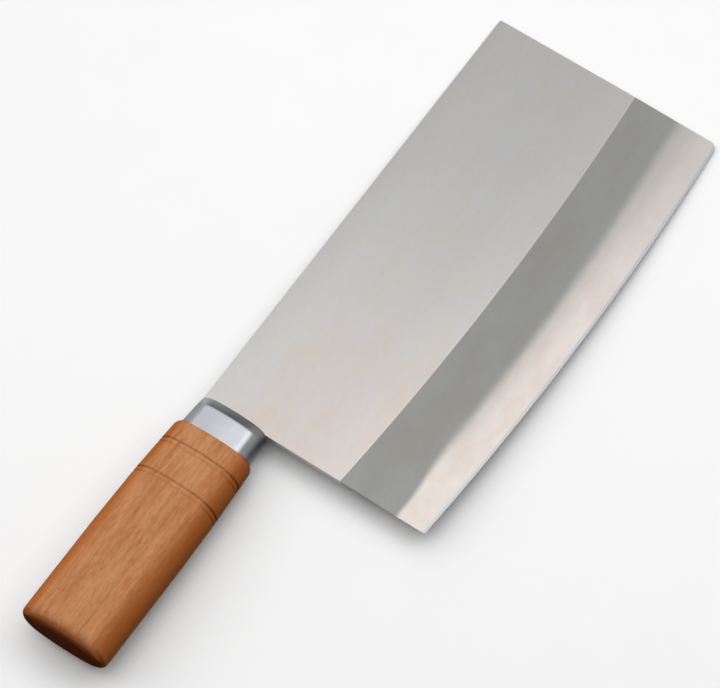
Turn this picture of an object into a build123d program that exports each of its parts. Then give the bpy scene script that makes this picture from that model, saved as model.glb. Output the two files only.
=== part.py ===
from build123d import *
import os
from math import sqrt

# A broad kitchen cleaver: three-layer blade, welded tang, drawn steel ferrule, oval wooden handle.
# It is drawn with the heel's spine corner at zero, +X from heel to tip, +Y towards the spine and
# +Z square to the blade, whose middle plane is Z = 0. The finished part is set down with zero at the
# bottom centre of its box. All lengths are in millimetres.

# Blade
blade_length = 220.0
blade_height = 113.1           # spine to the deepest point of the cutting edge
blade_thickness = 2.2
edge_radius = 1475.0           # the cutting edge is one long arc
edge_deepest_at = 117.0        # from the heel
tip_corner_radius = 3.5
heel_corner_radius = 1.3
spine_corner_radius = 1.0
spine_chamfer = 0.25

# Bevels, measured from the cutting edge
bevel_width = 41.0
core_bare_width = 17.5         # core steel that shows below the cladding
core_thickness = 1.0
micro_bevel_width = 1.2
micro_bevel_thickness = 0.4
edge_land = 0.1

# Neck and tang
neck_length = 8.0
neck_width = 22.0
neck_relief = 0.1              # each side of the neck is this much lower than the cheek
tang_length = 80.0
tang_front_width = 18.0
tang_end_width = 8.0
tang_corner_radius = 2.5

# Handle
axis_drop = 15.7               # the handle's axis below the spine
handle_length = 105.8
handle_width = 41.0            # of the oval where it is widest
handle_thickness = 24.8
handle_end_radius = 11.4       # of the oval's narrow ends
shoulder_setback = 14.2        # from the heel to the front of the wood
shoulder_radius = 3.6
butt_radius = 2.5
bedding_room = 0.6             # round the tang, on each side

# How far the wood lies inside its widest oval, all round, where each of its straight tapers ends
shoulder_inset = 1.8
front_lines_inset = 1.15
back_lines_inset = 0.45
full_oval_at = 70.0            # behind the heel

# Turned lines: a pair of fine V cuts goes round the handle at each of two places
front_lines_at = 26.6          # middle of the pair, behind the heel
back_lines_at = 43.1
line_spacing = 2.3
line_width = 1.1
deep_line_depth = 0.5          # the line nearer the blade
shallow_line_depth = 0.3

# Ferrule
ferrule_setback = 0.2          # air between the heel and the ferrule
ferrule_rim_width = 34.2
ferrule_rim_thickness = 20.2
ferrule_end_radius = 9.3       # of its oval's narrow ends, at the rim
ferrule_taper = 1.2            # how much slimmer it is at its front, all round
ferrule_front_radius = 3.0
ferrule_wall = 0.9             # at its front, from where the bore runs straight back
ferrule_face_wall = 1.2
bore_chamfer = 1.2
rim_seat_depth = 3.0           # how far the rim is let into the front of the wood
fit_clearance = 0.1            # between pieces that slide together

overrun = 1.0                  # cuts run past what they cut, and joined volumes overlap, by this much

# Worked out from the sizes above
edge_centre_y = edge_radius - blade_height
neck_thickness = blade_thickness - 2 * neck_relief
tang_end_at = neck_length + tang_length
butt_at = shoulder_setback + handle_length
tapers = [
    (shoulder_setback, shoulder_inset),
    (front_lines_at, front_lines_inset),
    (back_lines_at, back_lines_inset),
    (full_oval_at, 0),
    (butt_at, 0),
]
wood_oval = (handle_width, handle_thickness, handle_end_radius)
wood_depth = shoulder_inset + shoulder_radius + overrun
ferrule_oval = (ferrule_rim_width, ferrule_rim_thickness, ferrule_end_radius)
ferrule_depth = ferrule_taper + ferrule_front_radius + overrun
rim_at = shoulder_setback + rim_seat_depth
bore_front = ferrule_setback + ferrule_face_wall


def edge_y(x):
    # height of the cutting edge at a distance from the heel
    return edge_centre_y - sqrt(edge_radius**2 - (x - edge_deepest_at) ** 2)


def wood_inset(setback):
    for (front, front_inset), (back, back_inset) in zip(tapers, tapers[1:]):
        if front <= setback <= back:
            return front_inset + (back_inset - front_inset) * (setback - front) / (back - front)


def oval(size, inset, setback):
    # four tangent arcs, flat ones on the broad sides and round ones at the narrow ends, drawn inside
    # the full size by an inset: all insets share the same four centres
    width, thickness, end_radius = size
    run = width / 2 - end_radius
    rise = thickness / 2 - end_radius
    flat_radius = (run**2 + rise**2) / (2 * rise) + end_radius
    reach = (end_radius - inset) / (flat_radius - end_radius)
    half_width = width / 2 - inset
    half_thickness = thickness / 2 - inset
    join_y = run * (1 + reach)
    join_z = (flat_radius - thickness / 2) * reach
    arcs = [
        ThreePointArc((-join_y, join_z), (0, half_thickness), (join_y, join_z)),
        ThreePointArc((join_y, join_z), (half_width, 0), (join_y, -join_z)),
        ThreePointArc((join_y, -join_z), (0, -half_thickness), (-join_y, -join_z)),
        ThreePointArc((-join_y, -join_z), (-half_width, 0), (-join_y, join_z)),
    ]
    plane = Plane((-setback, -axis_drop, 0), x_dir=(0, 1, 0), z_dir=(1, 0, 0))
    return [plane * arc for arc in arcs]


def oval_block(size, inset, front, back):
    # a straight oval block between two distances behind the heel
    return extrude(make_face(oval(size, inset, back)), back - front, dir=(1, 0, 0))


def turned_body(size, profile, depth):
    # a long profile carried round the oval, with its middle filled. The profile is drawn as distances
    # behind the heel and heights below the oval's full size, down to a depth and one overrun more
    path = Wire(oval(size, 0, 0))
    ring = sweep(Plane(path @ 0, x_dir=(-1, 0, 0), z_dir=path % 0) * profile, path)
    box = profile.bounding_box()
    return ring + oval_block(size, depth, box.min.X, box.max.X)


def slab(front, back, width, thickness):
    # a plain block centred on the handle's axis, between two distances behind the heel
    block = Box(back - front, width, thickness)
    return Pos(-(front + back) / 2, -axis_drop, 0) * block


def blade_outline():
    heel_y = edge_y(0)
    tip_y = edge_y(blade_length)
    outline = make_face(
        [
            Line((0, 0), (blade_length, 0)),
            Line((blade_length, 0), (blade_length, tip_y)),
            ThreePointArc((blade_length, tip_y), (edge_deepest_at, -blade_height), (0, heel_y)),
            Line((0, heel_y), (0, 0)),
        ]
    )
    corners = [
        ((blade_length, tip_y), tip_corner_radius),
        ((blade_length, 0), spine_corner_radius),
        ((0, heel_y), heel_corner_radius),
    ]
    for corner, radius in corners:
        outline = fillet(outline.vertices().sort_by_distance((*corner, 0))[0], radius)
    return outline


def bevel_half_profile():
    # half of the blade's section, drawn outwards from the centre of the edge arc: flat cheek, a long
    # bevel ground slightly hollow, and the micro bevel, drawn on to the point where it would be sharp
    micro_slope = (micro_bevel_thickness - edge_land) / (2 * micro_bevel_width)
    inner = edge_centre_y - overrun
    bevel_top = (edge_radius - bevel_width, blade_thickness / 2)
    cladding_end = (edge_radius - core_bare_width, core_thickness / 2)
    micro_top = (edge_radius - micro_bevel_width, micro_bevel_thickness / 2)
    sharp = (edge_radius + edge_land / 2 / micro_slope, 0)
    return make_face(
        [
            Line((inner, 0), (inner, blade_thickness / 2)),
            Line((inner, blade_thickness / 2), bevel_top),
            ThreePointArc(bevel_top, cladding_end, micro_top),
            Line(micro_top, sharp),
            Line(sharp, (inner, 0)),
        ]
    )


def spine_envelope():
    # a long block whose two upper edges are cut off at 45 degrees, to ease the spine
    top = blade_thickness / 2 - spine_chamfer
    cut = spine_chamfer + overrun
    bottom = -blade_height - overrun
    half = Polygon((0, 0), (0, top), (-cut, top + cut), (bottom, top + cut), (bottom, 0), align=None)
    section = Plane((-overrun, 0, 0), x_dir=(0, 1, 0), z_dir=(1, 0, 0)) * (half + mirror(half, Plane.XZ))
    return extrude(section, blade_length + 2 * overrun)


def blade_body():
    # the outline, ground on a turning body about the edge arc's centre so that bevel and edge run alike
    half = bevel_half_profile()
    centre = (edge_deepest_at, edge_centre_y, 0)
    section = Plane(centre, x_dir=(0, -1, 0), z_dir=(1, 0, 0)) * (half + mirror(half, Plane.XZ))
    ground = revolve(section, Axis(centre, (0, 0, 1)), 360)
    blade = extrude(blade_outline(), blade_thickness, both=True) & ground & spine_envelope()
    return blade + neck(0, 0)


def blade_layers():
    # soft cladding, hard core and soft cladding, welded flat on flat
    upper_seam = Plane.XY.offset(core_thickness / 2)
    lower_seam = Plane.XY.offset(-core_thickness / 2)
    blade = blade_body()
    upper = split(blade, upper_seam, keep=Keep.TOP)
    lower = split(blade, lower_seam, keep=Keep.BOTTOM)
    core = split(split(blade, upper_seam, keep=Keep.BOTTOM), lower_seam, keep=Keep.TOP)
    return upper, core, lower


def tang_strip(grown):
    # a tapered strip behind the neck, grown all round
    front = tang_front_width / 2 + grown
    end = tang_end_width / 2 + grown
    end_at = tang_end_at + grown
    outline = Polygon(
        (-neck_length, front), (-end_at, end), (-end_at, -end), (-neck_length, -front), align=None
    )
    outline = fillet(outline.vertices().group_by(Axis.X)[0], tang_corner_radius)
    return Pos(0, -axis_drop, 0) * extrude(outline, neck_thickness / 2 + grown, both=True)


def neck(front, grown):
    # the stub of the blade that the tang is welded to, grown all round and starting at a setback
    return slab(front, neck_length + grown, neck_width + 2 * grown, neck_thickness + 2 * grown)


def bore_room(shrunk):
    # what fills the ferrule's bore, shrunk all round: straight, with a chamfered front
    inset = ferrule_taper + ferrule_wall + shrunk
    block = oval_block(ferrule_oval, inset, bore_front + shrunk, rim_at + overrun)
    return chamfer(block.faces().sort_by(Axis.X)[-1].edges(), bore_chamfer)


def ferrule():
    # a tapered cap with a rounded front, bored straight, with a slot for the neck
    foot = -ferrule_depth - overrun
    front = (ferrule_setback, -ferrule_taper)
    profile = Polygon(front, (rim_at, 0), (rim_at, foot), (ferrule_setback, foot), align=None)
    profile = fillet(profile.vertices().sort_by_distance(front)[0], ferrule_front_radius)
    cap = turned_body(ferrule_oval, profile, ferrule_depth)
    slot = slab(0, rim_at, neck_width + 2 * fit_clearance, neck_thickness + 2 * fit_clearance)
    return cap - bore_room(0) - slot


def turned_line(setback, depth):
    # a V cut, drawn out past the surface
    surface = -wood_inset(setback)
    flare = line_width / 2 * (depth + overrun) / depth
    return Polygon(
        (setback, surface - depth),
        (setback - flare, surface + overrun),
        (setback + flare, surface + overrun),
        align=None,
    )


def wood_profile():
    # three tapers and a straight run between rounded shoulder and butt, with the turned lines cut in
    foot = -wood_depth - overrun
    surface = [(setback, -inset) for setback, inset in tapers]
    profile = Polygon(*surface, (butt_at, foot), (shoulder_setback, foot), align=None)
    for corner, radius in ((surface[0], shoulder_radius), (surface[-1], butt_radius)):
        profile = fillet(profile.vertices().sort_by_distance(corner)[0], radius)
    for middle in (front_lines_at, back_lines_at):
        profile -= turned_line(middle - line_spacing / 2, deep_line_depth)
        profile -= turned_line(middle + line_spacing / 2, shallow_line_depth)
    return profile


def handle():
    # the wood, with a seat for the ferrule's rim, a spigot that fills its bore, and the tang's mortise
    wood = turned_body(wood_oval, wood_profile(), wood_depth)
    seat = oval_block(ferrule_oval, -fit_clearance, 0, rim_at)
    return wood - seat + bore_room(fit_clearance) - tang_room()


def tang_room():
    # the mortise: what neck and tang take up in the wood, and the bedding round them
    return neck(bore_front, bedding_room) + tang_strip(bedding_room)


def bedding():
    # resin round neck and tang
    return tang_room() - neck(0, 0) - tang_strip(0)


upper, core, lower = blade_layers()
pieces = {
    "blade_core": core,
    "cladding_upper": upper,
    "cladding_lower": lower,
    "tang": tang_strip(0),
    "ferrule": ferrule(),
    "handle": handle(),
    "tang_bedding": bedding(),
}
rest = Pos(
    (butt_at - blade_length) / 2,
    (blade_height + axis_drop - handle_width / 2) / 2,
    handle_thickness / 2,
)

os.makedirs("parts", exist_ok=True)
for name, piece in pieces.items():
    export_step(rest * piece, f"parts/{name}.step")
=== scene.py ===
from math import asin, atan2, cos, pi, radians, sin, sqrt

import bpy
from mathutils import Matrix, Vector


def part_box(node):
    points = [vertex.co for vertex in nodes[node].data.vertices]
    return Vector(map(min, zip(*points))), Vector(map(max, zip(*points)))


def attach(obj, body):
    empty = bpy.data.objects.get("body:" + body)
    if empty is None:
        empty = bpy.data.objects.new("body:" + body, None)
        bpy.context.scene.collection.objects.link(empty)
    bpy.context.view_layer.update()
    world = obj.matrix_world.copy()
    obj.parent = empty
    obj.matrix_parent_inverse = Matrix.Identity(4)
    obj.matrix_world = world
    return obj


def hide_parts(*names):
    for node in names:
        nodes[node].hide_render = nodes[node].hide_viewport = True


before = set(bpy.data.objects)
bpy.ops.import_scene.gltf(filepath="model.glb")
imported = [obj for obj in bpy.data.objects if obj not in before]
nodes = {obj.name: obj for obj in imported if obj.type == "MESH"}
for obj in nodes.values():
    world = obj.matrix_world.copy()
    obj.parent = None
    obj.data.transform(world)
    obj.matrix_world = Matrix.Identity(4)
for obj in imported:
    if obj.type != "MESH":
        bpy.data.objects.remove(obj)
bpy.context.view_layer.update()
print("frame loaded:", ", ".join(sorted(nodes)))

mm = 0.001                   # the scene is in metres
samePoint = 0.0002 * mm      # points nearer to each other than this are one
bladeLength = 220 * mm

# where the cleaver lies, read from the frame: X towards the tip, Y towards the spine
handleLow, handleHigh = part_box("handle")
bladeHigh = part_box("cladding_upper")[1]
heelX = bladeHigh.x - bladeLength
spineY = bladeHigh.y
axisY = (handleLow.y + handleHigh.y) / 2
middleZ = (handleLow.z + handleHigh.z) / 2


# a shader socket that takes part in plain sums
class Value:
    def __init__(self, finish, socket):
        self.finish = finish
        self.socket = socket

    def __add__(self, other):
        return self.finish.maths("ADD", self, other)

    def __radd__(self, other):
        return self.finish.maths("ADD", other, self)

    def __sub__(self, other):
        return self.finish.maths("SUBTRACT", self, other)

    def __rsub__(self, other):
        return self.finish.maths("SUBTRACT", other, self)

    def __mul__(self, other):
        return self.finish.maths("MULTIPLY", self, other)

    def __rmul__(self, other):
        return self.finish.maths("MULTIPLY", other, self)

    def __truediv__(self, other):
        return self.finish.maths("DIVIDE", self, other)

    def __rtruediv__(self, other):
        return self.finish.maths("DIVIDE", other, self)

    def __neg__(self):
        return self.finish.maths("MULTIPLY", self, -1.0)

    def __abs__(self):
        return self.finish.maths("ABSOLUTE", self)


# the node tree of a material or of the world
class Finish:
    def __init__(self, owner):
        self.owner = owner
        owner.use_nodes = True
        self.tree = owner.node_tree
        self.tree.nodes.clear()
        self.place = None

    def feed(self, socket, value):
        if isinstance(value, Value):
            self.tree.links.new(value.socket, socket)
        elif socket.type == "RGBA":
            socket.default_value = (*value, 1)
        else:
            socket.default_value = value

    def setStops(self, ramp, stops):
        while len(ramp.elements) < len(stops):
            ramp.elements.new(0.5)
        for element, (position, colour) in zip(ramp.elements, stops):
            element.position = position
            element.color = (*colour, 1)

    def node(self, kind, settings=None, values=None, output=0):
        # settings first, then sockets; a tuple of outputs gives a list of values
        made = self.tree.nodes.new(kind)
        for name, setting in (settings or {}).items():
            if name == "stops":
                self.setStops(made.color_ramp, setting)
            else:
                setattr(made, name, setting)
        for key, value in (values or {}).items():
            self.feed(made.inputs[key], value)
        if isinstance(output, tuple):
            return [Value(self, made.outputs[key]) for key in output]
        return Value(self, made.outputs[output]) if made.outputs else None

    def maths(self, operation, *values):
        return self.node("ShaderNodeMath", {"operation": operation}, dict(enumerate(values)))

    def distance(self, across, upward):
        return self.maths("SQRT", across * across + upward * upward)

    def position(self, scale=(1, 1, 1)):
        # the piece's own coordinates in millimetres, stretched
        if self.place is None:
            self.place = self.node("ShaderNodeTexCoord", output="Object")
        stretch = tuple(s / mm for s in scale)
        return self.node("ShaderNodeVectorMath", {"operation": "MULTIPLY"}, {0: self.place, 1: stretch})

    def axes(self, vector):
        return self.node("ShaderNodeSeparateXYZ", values={0: vector}, output=("X", "Y", "Z"))

    def facing(self):
        # how far the surface faces along each axis, from -1 to 1
        return self.axes(self.node("ShaderNodeTexCoord", output="Normal"))

    def noise(self, scale, detail=3.0, roughness=0.5, shift=(0, 0, 0)):
        # soft noise about a middle of 0.5; scale is waves per millimetre along each axis
        place = self.node(
            "ShaderNodeVectorMath", {"operation": "ADD"}, {0: self.position(scale), 1: shift}
        )
        values = {"Vector": place, "Scale": 1.0, "Detail": detail, "Roughness": roughness}
        return self.node("ShaderNodeTexNoise", {"noise_dimensions": "3D"}, values)

    def step(self, value, low, high):
        # 0 below low, 1 above high, smooth between them
        values = {"Value": value, "From Min": low, "From Max": high, "To Min": 0.0, "To Max": 1.0}
        return self.node("ShaderNodeMapRange", {"interpolation_type": "SMOOTHSTEP"}, values)

    def blend(self, mask, first, second):
        # colour that goes from first to second as the mask goes from 0 to 1
        sockets = {0: mask, 6: first, 7: second}
        return self.node("ShaderNodeMix", {"data_type": "RGBA"}, sockets, output=2)

    def tint(self, colour, amount):
        # a colour made lighter or darker by a number about 1
        return self.node("ShaderNodeVectorMath", {"operation": "SCALE"}, {0: colour, "Scale": amount})

    def surface(self, values, bump, bumpHeight):
        # the shader itself; the bump is between 0 and 1, its height in millimetres
        relief = {"Strength": 1.0, "Distance": bumpHeight * mm, "Height": bump}
        values = {**values, "Normal": self.node("ShaderNodeBump", values=relief)}
        shader = self.node("ShaderNodeBsdfPrincipled", values=values)
        self.node("ShaderNodeOutputMaterial", values={"Surface": shader})
        return self.owner


def shade(red, green, blue):
    # a colour as seen on a screen, 0 to 255, as the light it stands for
    parts = [part / 255 for part in (red, green, blue)]
    return tuple(
        part / 12.92 if part <= 0.04045 else ((part + 0.055) / 1.055) ** 2.4 for part in parts
    )


def deselectAll():
    if bpy.context.object and bpy.context.object.mode != "OBJECT":
        bpy.ops.object.mode_set(mode="OBJECT")
    bpy.ops.object.select_all(action="DESELECT")


def pick(piece):
    # the one piece that the next operators work on
    deselectAll()
    bpy.context.view_layer.objects.active = piece
    piece.select_set(True)


def drawChain(name, places):
    # a chain of edges drawn point by point, from a plane merged to one point
    deselectAll()
    bpy.ops.mesh.primitive_plane_add(size=mm, location=places[0])
    piece = bpy.context.object
    piece.name = piece.data.name = name
    bpy.ops.object.transform_apply(location=True, rotation=False, scale=False)
    bpy.ops.object.mode_set(mode="EDIT")
    bpy.ops.mesh.select_all(action="SELECT")
    bpy.ops.mesh.merge(type="CENTER")
    for here, there in zip(places, places[1:]):
        move = tuple(b - a for a, b in zip(here, there))
        bpy.ops.mesh.extrude_vertices_move(TRANSFORM_OT_translate={"value": move})
    return piece


def spinRoundOval(oval):
    # carries the open chain round the oval's four arcs, then closes the seam and both ends
    run = oval["width"] / 2 - oval["endRadius"]
    rise = oval["thickness"] / 2 - oval["endRadius"]
    flatRadius = (run**2 + rise**2) / (2 * rise) + oval["endRadius"]
    lean = asin(run / (flatRadius - oval["endRadius"]))
    drop = flatRadius - oval["thickness"] / 2
    flatSteps, endSteps = oval["flatSteps"], oval["endSteps"]
    arcs = [
        (0, -drop, lean, flatSteps),
        (-run, 0, pi - 2 * lean, endSteps),
        (0, drop, 2 * lean, 2 * flatSteps),
        (run, 0, pi - 2 * lean, endSteps),
        (0, -drop, lean, flatSteps),
    ]
    bpy.ops.mesh.select_all(action="SELECT")
    for centreY, centreZ, angle, steps in arcs:
        centre = (0, axisY + centreY * mm, middleZ + centreZ * mm)
        bpy.ops.mesh.spin(steps=steps, angle=-angle, center=centre, axis=(1, 0, 0))
    bpy.ops.mesh.select_all(action="SELECT")
    bpy.ops.mesh.remove_doubles(threshold=samePoint)
    bpy.ops.mesh.select_all(action="DESELECT")
    bpy.ops.mesh.select_mode(type="EDGE")
    bpy.ops.mesh.select_non_manifold(extend=False)
    bpy.ops.mesh.fill_holes(sides=0)
    bpy.ops.mesh.select_all(action="SELECT")
    bpy.ops.mesh.normals_make_consistent(inside=False)
    bpy.ops.mesh.select_mode(type="VERT")
    bpy.ops.object.mode_set(mode="OBJECT")


def alongHandle(oval, setback, inset):
    # a place on the upper middle line: so far behind the heel, so far inside the full oval
    return (heelX - setback * mm, axisY, middleZ + (oval["thickness"] / 2 - inset) * mm)


def roundedCorner(before, corner, after, radius, steps):
    # places along an arc that rounds a corner of a chain
    before, corner, after = Vector(before), Vector(corner), Vector(after)
    inward = (before - corner).normalized()
    onward = (after - corner).normalized()
    half = inward.angle(onward) / 2
    reach = radius / sin(half) * cos(half)
    start = corner + inward * reach
    end = corner + onward * reach
    centre = corner + (inward + onward).normalized() * (radius / sin(half))
    sweep = (start - centre).angle(end - centre)
    places = []
    for i in range(steps + 1):
        share = i / steps
        fromStart = sin((1 - share) * sweep) / sin(sweep)
        fromEnd = sin(share * sweep) / sin(sweep)
        places.append(tuple(centre + (start - centre) * fromStart + (end - centre) * fromEnd))
    return places


def roundDrop(radius, behind):
    # how far a rounding lies below its full height, so far behind its end
    reach = min(radius, max(0, radius - behind))
    return radius - sqrt(radius**2 - reach**2)


def ringsOf(piece):
    # how far behind the heel the piece's rings of points lie, in millimetres
    return sorted({round((heelX - vertex.co.x) / mm, 4) for vertex in piece.data.vertices})


def squeezeRing(piece, setback, share):
    # flattens all points that lie so far behind the heel
    ringX = heelX - setback * mm
    pick(piece)
    bpy.ops.object.mode_set(mode="EDIT")
    bpy.ops.mesh.select_all(action="DESELECT")
    bpy.ops.object.mode_set(mode="OBJECT")
    for vertex in piece.data.vertices:
        vertex.select = abs(vertex.co.x - ringX) < samePoint
    bpy.ops.object.mode_set(mode="EDIT")
    bpy.ops.transform.resize(value=(1, 1, share), center_override=(ringX, axisY, middleZ))
    bpy.ops.object.mode_set(mode="OBJECT")


def cutWith(piece, cutter):
    # takes one body out of another
    pick(piece)
    cut = piece.modifiers.new("cut", "BOOLEAN")
    cut.operation = "DIFFERENCE"
    cut.solver = "EXACT"
    cut.object = cutter
    bpy.ops.object.modifier_apply(modifier=cut.name)
    bpy.data.objects.remove(cutter)


def smoothByAngle(piece, angle):
    pick(piece)
    bpy.ops.object.shade_smooth_by_angle(angle=radians(angle))


# ferrule: bright steel cap, its broad faces rolled down to the blade

ferruleCap = {
    "width": 34.2, "thickness": 20.2, "endRadius": 9.3,       # its oval at the rim, in millimetres
    "front": 0.2, "rim": 17.2, "taper": 1.2,                  # behind the heel; slimmer at the front
    "endRound": 0.9,                                          # at the narrow ends
    "rollLength": 4.6, "rollDrop": 2.4, "rollPower": 1.25,    # of the broad faces towards the blade
    "lip": 0.25,                                              # small rounding where the roll ends
    "wallRings": [12, 8, 5.4, 4.8, 4.5, 4.2, 3.8, 3.3, 2.8, 2.3, 1.9, 1.5],    # behind the heel
    "footInset": 1.3,                                         # how far in the end faces start
    "slotWidth": 22.2, "slotThickness": 2.2, "slotDepth": 3.0,
    "flatSteps": 10, "endSteps": 40, "cornerSteps": 10,
    "smoothBelow": 40,                                        # degrees between faces
    # steel: waves per millimetre along X, Y and Z
    "smudges": (0.16, 0.22, 0.22), "rubbing": (0.05, 0.5, 0.5), "dents": (0.12, 0.12, 0.12),
    "dentHeight": 0.04,
    "steel": (shade(170, 173, 178), shade(191, 192, 196)), "rubbedBrighter": 0.06,
    # painted shade: a dark steel colour for the narrow sides and the roll, where they mirror dark
    # surroundings
    "paintedFlankShade": shade(66, 73, 75), "paintedFlankShadeStrength": 0.85, "paintedFlankShadeOnRoll": 0.34,
    # how far the surface faces a side where its painted shade starts and is full
    "paintedFlankShadeSpineward": (0.35, 0.95), "paintedFlankShadeEdgeward": (0.7, 1.0), "paintedFlankShadeTipward": (0.1, 0.45),
    "roughness": 0.285, "smudgedRougher": 0.08, "rubbedRougher": 0.04,
}


def makeFerrule(sizes):
    front, rim, taper, radius = sizes["front"], sizes["rim"], sizes["taper"], sizes["endRound"]
    foot = sizes["endRadius"] - sizes["footInset"]
    corner = roundedCorner((rim, 0), (front, taper), (front, foot), radius, sizes["cornerSteps"])
    wall = [(setback, taper * (rim - setback) / (rim - front)) for setback in sizes["wallRings"]]
    chain = [(rim, foot), (rim, 0), *wall, *corner, (front, foot)]
    piece = drawChain("ferrule_cap", [alongHandle(sizes, *place) for place in chain])
    spinRoundOval(sizes)
    # ring by ring, the front is flattened so that the broad faces roll down to the blade
    length = sizes["rollLength"]
    for setback in ringsOf(piece):
        behind = setback - front
        if behind < length:
            half = sizes["thickness"] / 2 - taper * (rim - setback) / (rim - front)
            rolled = sizes["rollDrop"] * ((length - behind) / length) ** sizes["rollPower"]
            rolled += roundDrop(sizes["lip"], behind)
            squeezeRing(piece, setback, (half - rolled) / (half - roundDrop(radius, behind)))
    # the slot that the blade's neck goes through
    deselectAll()
    bpy.ops.mesh.primitive_cube_add(size=1, location=(heelX - front * mm, axisY, middleZ))
    slot = bpy.context.object
    slot.scale = (2 * sizes["slotDepth"] * mm, sizes["slotWidth"] * mm, sizes["slotThickness"] * mm)
    bpy.ops.object.transform_apply(location=True, rotation=True, scale=True)
    cutWith(piece, slot)
    smoothByAngle(piece, sizes["smoothBelow"])
    return piece


def ferruleFinish(values):
    finish = Finish(bpy.data.materials.new("ferrule steel"))
    smudge = finish.noise(values["smudges"], detail=3, roughness=0.55)
    rubbed = finish.noise(values["rubbing"], detail=2, shift=(3, 1, 2))
    dents = finish.noise(values["dents"], detail=1, shift=(6, 2, 4))
    colour = finish.blend(smudge, *values["steel"])
    colour = finish.tint(colour, 1 + values["rubbedBrighter"] * (rubbed - 0.5))
    # painted shade: the narrow sides are darkened, the roll towards the blade a little, where they
    # mirror dark surroundings
    tipward, spineward = finish.facing()[:2]
    onSides = finish.step(spineward, *values["paintedFlankShadeSpineward"])
    onSides = onSides + finish.step(-spineward, *values["paintedFlankShadeEdgeward"])
    onRoll = values["paintedFlankShadeOnRoll"] * finish.step(tipward, *values["paintedFlankShadeTipward"])
    paintedFlankShadeMask = values["paintedFlankShadeStrength"] * finish.maths("MAXIMUM", onSides, onRoll)
    colour = finish.blend(paintedFlankShadeMask, colour, values["paintedFlankShade"])
    # much smoother than this, thin lines show once the render is denoised
    rough = values["roughness"] + values["smudgedRougher"] * smudge + values["rubbedRougher"] * rubbed
    sockets = {"Base Color": colour, "Metallic": 1.0, "Roughness": rough}
    return finish.surface(sockets, dents, values["dentHeight"])


ferrulePiece = makeFerrule(ferruleCap)
ferrulePiece.data.materials.append(ferruleFinish(ferruleCap))
print("ferrule made")


# wooden handle, turned and then pressed to an oval

woodHandle = {
    "width": 41.0, "thickness": 24.8, "endRadius": 11.4,      # its widest oval, in millimetres
    "front": 14.2, "back": 120.0,                             # behind the heel
    "shoulderRadius": 3.6, "buttRadius": 2.5,
    "buttRollLength": 4.7, "buttRollDrop": 5.8,               # of the broad faces towards the butt
    "tapers": [(14.2, 1.8), (26.6, 1.15), (43.1, 0.45), (70.0, 0.0)],    # behind the heel, inset
    "lines": [(25.45, 0.5), (27.75, 0.3), (41.95, 0.5), (44.25, 0.3)],   # behind the heel, depth
    "lineWidth": 1.1,
    # across a turned line: shares of its width and of its depth, its lips worn round
    "lineShape": [
        (-0.62, 0.0), (-0.5, 0.05), (-0.38, 0.22), (-0.1, 0.9), (0, 1),
        (0.1, 0.9), (0.38, 0.22), (0.5, 0.05), (0.62, 0.0),
    ],
    "plainRings": [21.5, 31, 35, 38.5, 49, 56, 63, 70, 78, 86, 94, 102, 110],   # behind the heel
    "buttRings": [5.4, 4.9, 4.5, 4.1, 3.7, 3.3, 2.9],         # in front of the butt
    "footInset": 1.2,                                         # how far in the end faces start
    "seatRoom": 0.1, "seatLead": 5,                           # round and before the ferrule
    "flatSteps": 10, "endSteps": 44, "shoulderSteps": 12, "buttSteps": 10,
    "smoothBelow": 32,                                        # degrees between faces
    # growth rings about a pith far below, at Y and Z
    "pith": (20, -75), "ringPitch": 1.5, "ringWander": 9,
    # how much rings, broad figure and fibres tell in the colour
    "figureMiddle": 0.53, "ringShare": 0.05, "broadShare": 0.5, "fibreShare": 1.55,
    "longFibreShare": 0.55, "fineShare": 0.1,
    # where a change starts and is full: in the noise, and in how far the surface faces a side
    "figureFrom": (0.1, 0.9), "poresFrom": (0.62, 0.74),
    "sideShadeAndGripFacing": (0.15, 0.85), "paintedHighlightStart": (0.12, 0.22), "paintedHighlightEnd": (0.22, 0.42),
    "rimFacing": (0.6, 0.98), "cornerFacing": (0.25, 0.8), "cornerSideways": (0.25, 0.75),
    "endGrainAndShadeFacing": (0.95, 1.0), "endRoughFacing": (0.9, 1.0),
    # wood: waves per millimetre along X, Y and Z
    "wander": (0.010, 0.04, 0.04), "broad": (0.03, 0.16, 0.16), "longFibre": (0.042, 0.56, 0.56),
    "shortFibre": (0.24, 0.85, 0.85), "fine": (0.3, 2.4, 2.4), "pores": (0.34, 2.6, 2.6),
    "reliefHeight": 0.05, "poreDepth": 0.8,
    "light": shade(204, 146, 102), "medium": shade(191, 130, 87), "dark": shade(174, 110, 68),
    # the colour for the narrow sides is painted shade, with some darkening from the hand
    "pore": shade(120, 68, 38), "sideShadeAndGrip": shade(178, 97, 40), "burnt": shade(116, 52, 20),
    # at the butt: rim and corner colours are painted shade, the end grain's colour partly its own and
    # partly painted shade
    "rim": shade(184, 94, 40), "corner": shade(92, 40, 12), "endGrainAndShade": shade(80, 33, 9),
    # the stripe's brightening is a painted highlight
    "poreStrength": 0.3, "sideShadeAndGripStrength": 0.85, "paintedHighlightBrighter": 0.13, "burntStrength": 1.04,
    "rimShadeStrength": 0.75, "cornerShadeStrength": 0.7, "endGrainAndShadeStrength": 0.95, "paintedLightOnTopPaler": 0.45,
    # the butt's upper part is paler: painted light
    "paintedLightAbout": (17, 7),                                     # half width and height of the end
    "paintedLightFrom": (0.5, 1.0), "paintedLightUp": (0.0, 0.8),             # shares of these
    "narrowRimFrom": (0.5, 0.9), "narrowRimShadeShare": 0.12,
    "burntBeside": (0.1, 0.8),                                # millimetres from a line's middle
    "roughness": 0.44, "fibresRougher": 0.12, "poresRougher": 0.2, "endRougher": 0.2,
    "refraction": 1.45, "gloss": 0.01,
}


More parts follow.
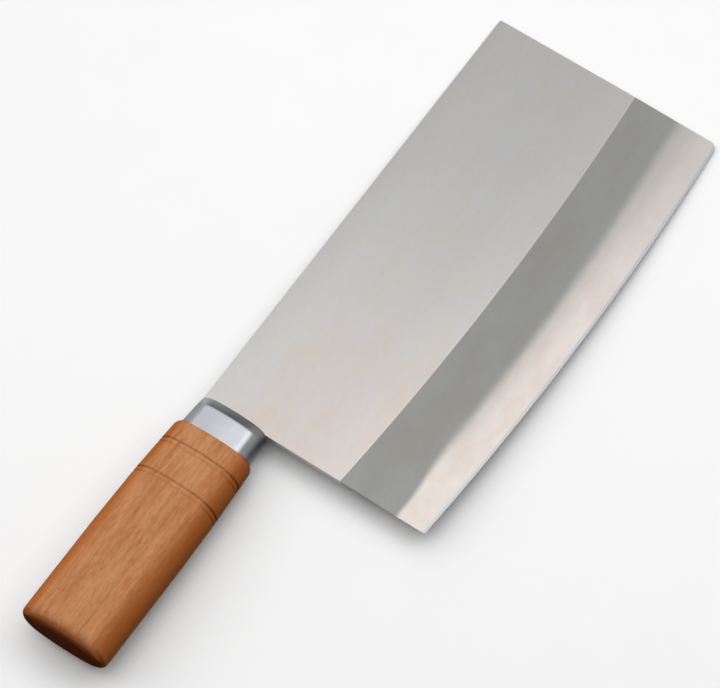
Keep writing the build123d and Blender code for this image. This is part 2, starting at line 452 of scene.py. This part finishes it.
def woodInset(sizes, setback):
    # how far the wood lies inside its widest oval, so far behind the heel
    stations = [*sizes["tapers"], (sizes["back"], 0.0)]
    for (front, frontInset), (back, backInset) in zip(stations, stations[1:]):
        if front <= setback <= back:
            return frontInset + (backInset - frontInset) * (setback - front) / (back - front)


def makeHandle(sizes):
    front, back, tapers = sizes["front"], sizes["back"], sizes["tapers"]
    foot = sizes["endRadius"] - sizes["footInset"]
    frontInset = tapers[0][1]
    shoulder = roundedCorner(
        (front, foot), (front, frontInset), tapers[1], sizes["shoulderRadius"], sizes["shoulderSteps"]
    )
    butt = roundedCorner(tapers[-1], (back, 0), (back, foot), sizes["buttRadius"], sizes["buttSteps"])
    run = []
    for middle, depth in sizes["lines"]:
        for aside, share in sizes["lineShape"]:
            setback = middle + aside * sizes["lineWidth"]
            run.append((setback, woodInset(sizes, setback) + share * depth))
    run += [(setback, woodInset(sizes, setback)) for setback in sizes["plainRings"]]
    run += [(back - ahead, 0.0) for ahead in sizes["buttRings"]]
    run.sort()
    chain = [(front, foot), *shoulder, *run, *butt, (back, foot)]
    piece = drawChain("handle_wood", [alongHandle(sizes, *place) for place in chain])
    spinRoundOval(sizes)
    # the broad faces roll over further than the narrow ones at the butt
    length, half = sizes["buttRollLength"], sizes["thickness"] / 2
    for setback in ringsOf(piece):
        ahead = max(0, back - setback)
        if ahead < length:
            rolled = sizes["buttRollDrop"] * roundDrop(length, ahead) / length
            turned = roundDrop(sizes["buttRadius"], ahead)
            squeezeRing(piece, setback, (half - rolled) / (half - turned))
    # the seat that the ferrule's rim is let into
    room = sizes["seatRoom"]
    seat = {
        **ferruleCap,
        "width": ferruleCap["width"] + 2 * room,
        "thickness": ferruleCap["thickness"] + 2 * room,
        "endRadius": ferruleCap["endRadius"] + room,
    }
    foot = seat["endRadius"] - seat["footInset"]
    start, rim = front - sizes["seatLead"], seat["rim"]
    chain = [(start, foot), (start, 0), (rim, 0), (rim, foot)]
    cutter = drawChain("seat_cutter", [alongHandle(seat, *place) for place in chain])
    spinRoundOval(seat)
    cutWith(piece, cutter)
    smoothByAngle(piece, sizes["smoothBelow"])
    return piece


def woodFinish(values):
    finish = Finish(bpy.data.materials.new("oiled wood"))
    x, y, z = finish.axes(finish.position())
    # growth rings, drawn out along the handle and wandering a little
    pithY, pithZ = values["pith"]
    wander = finish.noise(values["wander"], detail=2, shift=(5, 2, 7))
    away = finish.distance(y - pithY, z - pithZ)
    ring = finish.maths("SINE", (away + values["ringWander"] * wander) * values["ringPitch"])
    broad = finish.noise(values["broad"], detail=3)
    longFibre = finish.noise(values["longFibre"], detail=3, shift=(1, 4, 2))
    shortFibre = finish.noise(values["shortFibre"], detail=3, shift=(6, 2, 8))
    longShare = values["longFibreShare"]
    fibre = longShare * longFibre + (1 - longShare) * shortFibre
    fine = finish.noise(values["fine"], detail=3, roughness=0.6, shift=(8, 3, 5))
    pores = finish.noise(values["pores"], detail=2, shift=(2, 9, 4))
    pores = finish.step(pores, *values["poresFrom"])
    figure = values["figureMiddle"] + values["ringShare"] * ring
    figure = figure + values["broadShare"] * (broad - 0.5) + values["fibreShare"] * (fibre - 0.5)
    stops = [(0.0, values["dark"]), (0.5, values["medium"]), (1.0, values["light"])]
    figure = finish.step(figure, *values["figureFrom"])
    colour = finish.node("ShaderNodeValToRGB", {"stops": stops}, {0: figure})
    colour = finish.tint(colour, 1 + values["fineShare"] * (fine - 0.5))
    colour = finish.blend(values["poreStrength"] * pores, colour, values["pore"])
    endward, spineward = finish.facing()[:2]
    endward, sideways = abs(endward), abs(spineward)
    # the narrow sides are richer and darker: painted shade where they turn away from the light, and
    # some darkening where the hand closes
    sideShadeAndGrip = finish.step(sideways, *values["sideShadeAndGripFacing"])
    colour = finish.blend(values["sideShadeAndGripStrength"] * sideShadeAndGrip, colour, values["sideShadeAndGrip"])
    # a painted highlight: a lighter stripe along the lower side
    paintedHighlight = finish.step(-spineward, *values["paintedHighlightStart"])
    paintedHighlight = paintedHighlight * (1 - finish.step(-spineward, *values["paintedHighlightEnd"]))
    colour = finish.tint(colour, 1 + values["paintedHighlightBrighter"] * paintedHighlight)
    # end grain drinks more oil and turns darker, and painted shade darkens it further; its redder rim
    # and darker corners are painted shade, and on top it is paler, painted light
    rimShade = values["rimShadeStrength"] * finish.step(endward, *values["rimFacing"])
    colour = finish.blend(rimShade, colour, values["rim"])
    corner = finish.step(endward, *values["cornerFacing"])
    corner = corner * finish.step(sideways, *values["cornerSideways"])
    colour = finish.blend(values["cornerShadeStrength"] * corner, colour, values["corner"])
    halfWidth, halfHeight = values["paintedLightAbout"]
    across, upward = (y - axisY / mm) / halfWidth, (z - middleZ / mm) / halfHeight
    fromMiddle = finish.distance(across, upward)
    paintedLightOnTop = finish.step(fromMiddle, *values["paintedLightFrom"]) * finish.step(upward, *values["paintedLightUp"])
    # painted shade: the dark end colour spreads onto the narrow ends' rim
    narrowRim = finish.step(fromMiddle - abs(upward), *values["narrowRimFrom"])
    endGrainAndShade = endward + values["narrowRimShadeShare"] * narrowRim
    endGrainAndShade = finish.step(endGrainAndShade, *values["endGrainAndShadeFacing"])
    endStrength = values["endGrainAndShadeStrength"] - values["paintedLightOnTopPaler"] * paintedLightOnTop
    colour = finish.blend(endStrength * endGrainAndShade, colour, values["endGrainAndShade"])
    # burnished floors of the turned lines
    burnt = 0
    for setback, depth in values["lines"]:
        aside = abs(x - (heelX / mm - setback))
        onLine = 1 - finish.step(aside, *values["burntBeside"])
        burnt = burnt + values["burntStrength"] * depth**2 * onLine
    # painted shade: the lines darken further on the narrow sides
    colour = finish.blend(burnt * (1 + sideShadeAndGrip), colour, values["burnt"])
    rough = values["roughness"] + values["fibresRougher"] * fibre + values["poresRougher"] * pores
    rough = rough + values["endRougher"] * finish.step(endward, *values["endRoughFacing"])
    relief = (fibre + fine) / 2 - values["poreDepth"] * pores
    sockets = {
        "Base Color": colour,
        "Roughness": rough,
        "IOR": values["refraction"],
        "Specular IOR Level": values["gloss"],
    }
    return finish.surface(sockets, relief, values["reliefHeight"])


handlePiece = makeHandle(woodHandle)
handlePiece.data.materials.append(woodFinish(woodHandle))
print("handle made")


# blade: ground steel in three layers

bladeGrind = {
    "edgeRadius": 1475.0, "edgeDeepestAt": 117.0, "height": 113.1,    # in millimetres
    # heights above the cutting edge
    "bevel": 41.0, "seam": 16.8, "micro": 1.2,
    "ridgeSoftness": 0.2, "ridgeWidth": 0.9, "microSoftness": 0.12,
    "seamDipAtHeel": 3.1, "seamRiseAtTip": 2.0, "seamWander": 0.9, "seamRipple": 0.4,
    "seamSoftAtHeel": 1.3, "seamSoftening": 1.6,
    # where a change starts and ends: along is from the heel, up is from the cutting edge
    "seamDipAlong": (0.0, 45.0), "seamRiseAlong": (115.0, 205.0), "softeningAlong": (0.0, 60.0),
    "tipAlong": (100.0, 220.0), "veilAlong": (20.0, 50.0), "veilUp": (5.0, 18.0),
    "strawAlong": (10.0, 130.0), "strawUp": (80.0, 112.0),
    "ridgeUp": (42.0, 64.0), "spineUp": (98.0, 113.0), "spineAlong": (5.0, 45.0),
    # how bright the core is at the heel, and how much it changes where along the blade
    "coreAtHeel": 0.93,
    "coreChanges": [(0.07, 15.0, 60.0), (0.12, 40.0, 125.0), (-0.11, 145.0, 215.0)],
    # steel: waves per millimetre along X, Y and Z
    "streaks": (0.007, 0.26, 0.26), "satin": (0.22, 0.50, 0.50), "clouds": (0.028, 0.05, 0.05),
    "bloom": (0.07, 0.11, 0.11), "wander": (0.03, 0.03, 0.03), "ripple": (0.25, 0.25, 0.25),
    "satinHeight": 0.006,
    "bloomFrom": (0.32, 0.68), "mottleFrom": (0.3, 0.7),      # where a patch starts and is full
    "cheek": shade(174, 172, 168), "straw": shade(176, 167, 160), "coolBloom": shade(170, 171, 176),
    "haze": (shade(134, 133, 129), shade(138, 139, 137)),
    "core": (shade(188, 178, 171), shade(194, 187, 182)), "coreAtTip": shade(196, 192, 189),
    "microSteel": shade(172, 178, 180),
    "bloomStrength": 0.45, "tipStrength": 0.7, "veilStrength": 0.42, "hazeTipBrighter": 0.11,
    # the ridge's brightening is a painted highlight
    "paintedRidgeHighlight": 0.08, "streakShare": 0.05, "satinShare": 0.08, "bloomShare": 0.06,
    # painted sheen near the ridge, painted shade near the spine
    "paintedSheenNearRidge": 0.045, "paintedShadeNearSpine": 0.05, "strawClouds": 1.2,
    # below 0.28, thin lines show once the render is denoised
    "cheekRoughness": 0.31, "bevelRoughness": 0.48, "coreRoughness": 0.30, "microRoughness": 0.44,
    "streaksRougher": 0.04,
}


def bladeFinish(values):
    finish = Finish(bpy.data.materials.new("ground blade steel"))
    x, y = finish.axes(finish.position())[:2]
    centreX = heelX / mm + values["edgeDeepestAt"]
    centreY = spineY / mm + values["edgeRadius"] - values["height"]
    fromEdge = values["edgeRadius"] - finish.distance(x - centreX, y - centreY)
    along = x - heelX / mm
    tipward = finish.step(along, *values["tipAlong"])
    # grinding marks run along the blade
    streak = finish.noise(values["streaks"], detail=2, shift=(4, 1, 0))
    satin = finish.noise(values["satin"], detail=3, roughness=0.6, shift=(3, 3, 8))
    cloud = finish.noise(values["clouds"], detail=4, roughness=0.6, shift=(2, 3, 1))
    bloom = finish.noise(values["bloom"], detail=4, roughness=0.6, shift=(9, 2, 5))
    # the weld seam between core and cladding wanders, and is crisper near the heel
    wander = finish.noise(values["wander"], detail=3, roughness=0.6, shift=(0, 5, 3)) - 0.5
    ripple = finish.noise(values["ripple"], detail=2, shift=(0, 1, 3)) - 0.5
    dip = values["seamDipAtHeel"] * (1 - finish.step(along, *values["seamDipAlong"]))
    rise = values["seamRiseAtTip"] * finish.step(along, *values["seamRiseAlong"])
    seam = values["seam"] - dip + rise
    seam = seam + values["seamWander"] * wander + values["seamRipple"] * ripple
    softening = finish.step(along, *values["softeningAlong"])
    soft = values["seamSoftAtHeel"] + values["seamSoftening"] * softening
    onCore = 1 - finish.step((fromEdge - seam) / soft, -1.0, 1.0)
    # away from the heel the core goes on brightening down to the edge
    veil = finish.step(along, *values["veilAlong"]) * finish.step(fromEdge, *values["veilUp"])
    veil = values["veilStrength"] * veil
    bevel, micro = values["bevel"], values["micro"]
    blur, microBlur = values["ridgeSoftness"], values["microSoftness"]
    onBevel = 1 - finish.step(fromEdge, bevel - blur, bevel + blur)
    onMicro = 1 - finish.step(fromEdge, micro - microBlur, micro + microBlur)
    onRidge = 1 - finish.step(fromEdge, bevel + blur, bevel + values["ridgeWidth"])
    onRidge = (1 - onBevel) * onRidge
    # the cheek is straw-coloured near the heel, with a faint bloom in the polish
    straw = 1 - finish.step(along, *values["strawAlong"])
    straw = straw * (1 - finish.step(fromEdge, *values["strawUp"]))
    straw = finish.step(straw + values["strawClouds"] * (cloud - 0.5), 0.0, 1.0)
    cheek = finish.blend(straw, values["cheek"], values["straw"])
    cool = finish.blend(values["bloomStrength"], cheek, values["coolBloom"])
    cheek = finish.blend(finish.step(bloom, *values["bloomFrom"]), cheek, cool)
    cheek = finish.tint(cheek, 1 + values["bloomShare"] * (bloom - 0.5))
    # painted sheen: a little brighter towards the bevel; painted shade: away from the heel a little
    # darker along the spine
    nearRidge = 1 - finish.step(fromEdge, *values["ridgeUp"])
    nearSpine = finish.step(fromEdge, *values["spineUp"]) * finish.step(along, *values["spineAlong"])
    towardsBevel = 1 + values["paintedSheenNearRidge"] * nearRidge
    cheek = finish.tint(cheek, towardsBevel - values["paintedShadeNearSpine"] * nearSpine)
    haze = finish.blend(finish.step(cloud, *values["mottleFrom"]), *values["haze"])
    core = finish.blend(finish.step(bloom, *values["mottleFrom"]), *values["core"])
    core = finish.blend(values["tipStrength"] * tipward, core, values["coreAtTip"])
    # the core is brightest in the middle of the blade
    brightness = values["coreAtHeel"]
    for change, start, end in values["coreChanges"]:
        brightness = brightness + change * finish.step(along, start, end)
    core = finish.tint(core, brightness)
    haze = finish.tint(haze, 1 + values["hazeTipBrighter"] * tipward)
    colour = finish.blend(onBevel, cheek, haze)
    colour = finish.blend(onCore * (1 - veil), colour, core)
    colour = finish.blend(onMicro, colour, values["microSteel"])
    ground = 1 + values["streakShare"] * (streak - 0.5) + values["satinShare"] * (satin - 0.5)
    # with a painted highlight along the ridge
    colour = finish.tint(colour, ground * (1 + values["paintedRidgeHighlight"] * onRidge))
    # each zone's roughness takes over from the one above it
    names = ("cheekRoughness", "bevelRoughness", "coreRoughness", "microRoughness")
    rough = values[names[0]] + values["streaksRougher"] * (streak - 0.5)
    for above, here, mask in zip(names, names[1:], (onBevel, onCore, onMicro)):
        rough = rough + (values[here] - values[above]) * mask
    sockets = {"Base Color": colour, "Metallic": 1.0, "Roughness": rough}
    return finish.surface(sockets, satin, values["satinHeight"])


bladeSteel = bladeFinish(bladeGrind)


# plain finishes of what sits inside the handle

insideHandle = {
    # two colours, roughness and metallic
    "dull tang steel": (shade(120, 116, 112), shade(150, 147, 143), 0.45, 1.0),
    "bedding resin": (shade(58, 48, 38), shade(74, 62, 50), 0.6, 0.0),
    "patches": (0.3, 0.3, 0.3), "grit": (2.0, 2.0, 2.0),      # waves per millimetre
    "gritShare": 0.2, "patchesRougher": 0.1, "gritHeight": 0.02,
}


def hiddenFinish(values, name):
    first, second, roughness, metallic = values[name]
    finish = Finish(bpy.data.materials.new(name))
    patch = finish.noise(values["patches"], detail=4)
    grit = finish.noise(values["grit"], detail=3)
    colour = finish.blend(patch, first, second)
    colour = finish.tint(colour, 1 + values["gritShare"] * (grit - 0.5))
    rough = roughness + values["patchesRougher"] * patch
    sockets = {"Base Color": colour, "Metallic": metallic, "Roughness": rough}
    return finish.surface(sockets, grit, values["gritHeight"])


nodeFinishes = {
    "blade_core": bladeSteel,
    "cladding_upper": bladeSteel,
    "cladding_lower": bladeSteel,
    "tang": hiddenFinish(insideHandle, "dull tang steel"),
    "tang_bedding": hiddenFinish(insideHandle, "bedding resin"),
}
for name, material in nodeFinishes.items():
    nodes[name].data.materials.clear()
    nodes[name].data.materials.append(material)
print("blade finished")

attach(ferrulePiece, "root")
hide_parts("ferrule")
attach(handlePiece, "root")
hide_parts("handle")


# the cleaver rests on the tip of the blade and the front of the handle

studio = {
    "floorSize": 12.0, "floorSeen": 1.0, "floorBounce": 0.12,         # size in metres
    "restTip": (170.0, 11.3), "restHandle": (-93.1, 0.45),            # X and Z, in millimetres
    "floorDrop": 0.04,                                                # in millimetres
    "floorPatches": (0.05, 0.05, 0.05), "floorPatchShare": 0.02,
    # brightness of the world, and where in its sphere of radius 1 a change starts and is full
    "worldLow": 0.03, "worldHigh": 0.2, "riseUp": (0.0, 0.8),
    "worldSide": 0.5, "sideAcross": (0.2, 0.9),
    "worldBehind": 0.55, "behindAlong": (-0.9, -0.35),                # beyond the butt
    "worldAhead": 0.42, "aheadAlong": (0.5, 0.9),                     # beyond the tip
    "aheadAcross": (-0.1, 0.2), "aheadUp": (0.4, 0.62),
    # each softbox: middle, the place it faces, its size in metres and the brightness of its face
    "softboxes": {
        "wide softbox": ((0.1, 1.05, 1.2), (0.1, 1.05, 0.0), (2.8, 2.6), 0.77),
        "near softbox": ((-0.03, 0.02, 1.0), (-0.03, 0.02, 0.0), (0.98, 0.76), 1.09),
        "edge strip": ((0.34, -0.44, 0.82), (-0.06, 0.02, 0.01), (0.6, 0.34), 2.6),
        "low card": ((0.41, -1.02, 0.36), (-0.06, 0.02, 0.01), (0.6, 0.45), 0.5),
    },
}


def makeFloor(values):
    (tipX, tipZ), (restX, restZ) = values["restTip"], values["restHandle"]
    tilt = atan2(tipZ - restZ, tipX - restX)
    place = (tipX * mm, axisY, (tipZ - values["floorDrop"]) * mm)
    deselectAll()
    bpy.ops.mesh.primitive_plane_add(size=values["floorSize"], location=place, rotation=(0, -tilt, 0))
    floor = bpy.context.object
    floor.name = "floor"
    bpy.ops.object.transform_apply(location=True, rotation=True, scale=True)
    # white where it is seen or mirrored, dark for the light that it throws back
    finish = Finish(bpy.data.materials.new("pale floor"))
    camera, glossy, through = finish.node(
        "ShaderNodeLightPath", output=("Is Camera Ray", "Is Glossy Ray", "Is Transmission Ray")
    )
    seen = finish.maths("MINIMUM", camera + glossy + through, 1.0)
    colour = finish.blend(seen, (values["floorBounce"],) * 3, (values["floorSeen"],) * 3)
    patch = finish.noise(values["floorPatches"], detail=3)
    colour = finish.tint(colour, 1 + values["floorPatchShare"] * (patch - 0.5))
    lit = finish.node("ShaderNodeBsdfDiffuse", values={"Color": colour})
    # from below the floor isn't there
    under = finish.node("ShaderNodeNewGeometry", output="Backfacing")
    clear = finish.node("ShaderNodeBsdfTransparent")
    shown = finish.node("ShaderNodeMixShader", values={0: under, 1: lit, 2: clear})
    finish.node("ShaderNodeOutputMaterial", values={"Surface": shown})
    floor.data.materials.append(finish.owner)


def makeSoftbox(name, middle, facing, size, brightness):
    lamp = bpy.data.lights.new(name, "AREA")
    lamp.shape = "RECTANGLE"
    lamp.size, lamp.size_y = size
    lamp.energy = brightness * pi * size[0] * size[1]
    holder = bpy.data.objects.new(name, lamp)
    bpy.context.scene.collection.objects.link(holder)
    holder.location = middle
    holder.visible_camera = False
    holder.rotation_mode = "QUATERNION"
    holder.rotation_quaternion = (Vector(middle) - Vector(facing)).to_track_quat("Z", "Y")


def makeWorld(values):
    world = bpy.data.worlds.new("studio")
    bpy.context.scene.world = world
    finish = Finish(world)
    x, y, z = finish.axes(finish.node("ShaderNodeTexCoord", output="Generated"))
    low, high = values["worldLow"], values["worldHigh"]
    sky = low + (high - low) * finish.step(z, *values["riseUp"])
    sky = sky + values["worldSide"] * finish.step(y, *values["sideAcross"])
    # the studio's pale ends show in the steel only
    behind = values["worldBehind"] * (1 - finish.step(x, *values["behindAlong"]))
    ahead = values["worldAhead"] * finish.step(x, *values["aheadAlong"])
    ahead = ahead * (1 - finish.step(y, *values["aheadAcross"]))
    ahead = ahead * (1 - finish.step(z, *values["aheadUp"]))
    sky = sky + finish.node("ShaderNodeLightPath", output="Is Glossy Ray") * (behind + ahead)
    light = finish.node("ShaderNodeBackground", values={"Color": (1.0, 1.0, 1.0), "Strength": sky})
    finish.node("ShaderNodeOutputWorld", values={"Surface": light})


makeFloor(studio)
makeWorld(studio)
for name, settings in studio["softboxes"].items():
    makeSoftbox(name, *settings)
print("floor and lights set")


# camera, as the photograph was taken

photoCamera = {
    "place": (-0.68562, -0.45141, 1.58708),
    "right": (0.5625, -0.8268, 0.0020),
    "forward": (0.3885, 0.2621, -0.8834),
    "lens": 216.732, "sensorWidth": 36,      # in millimetres
    "near": 0.05, "far": 50,                 # what it sees, in metres
}


def makeCamera(values):
    camera = bpy.data.cameras.new("photo camera")
    camera.lens = values["lens"]
    camera.sensor_width = values["sensorWidth"]
    camera.clip_start, camera.clip_end = values["near"], values["far"]
    holder = bpy.data.objects.new("photo camera", camera)
    bpy.context.scene.collection.objects.link(holder)
    forward = Vector(values["forward"]).normalized()
    right = Vector(values["right"])
    right = (right - forward * right.dot(forward)).normalized()
    up = right.cross(forward)
    turned = Matrix((right, up, -forward)).transposed()
    holder.rotation_mode = "QUATERNION"
    holder.rotation_quaternion = turned.to_quaternion()
    holder.location = values["place"]
    bpy.context.scene.camera = holder


makeCamera(photoCamera)
bpy.context.scene.view_settings.view_transform = "Standard"
print("studio ready")
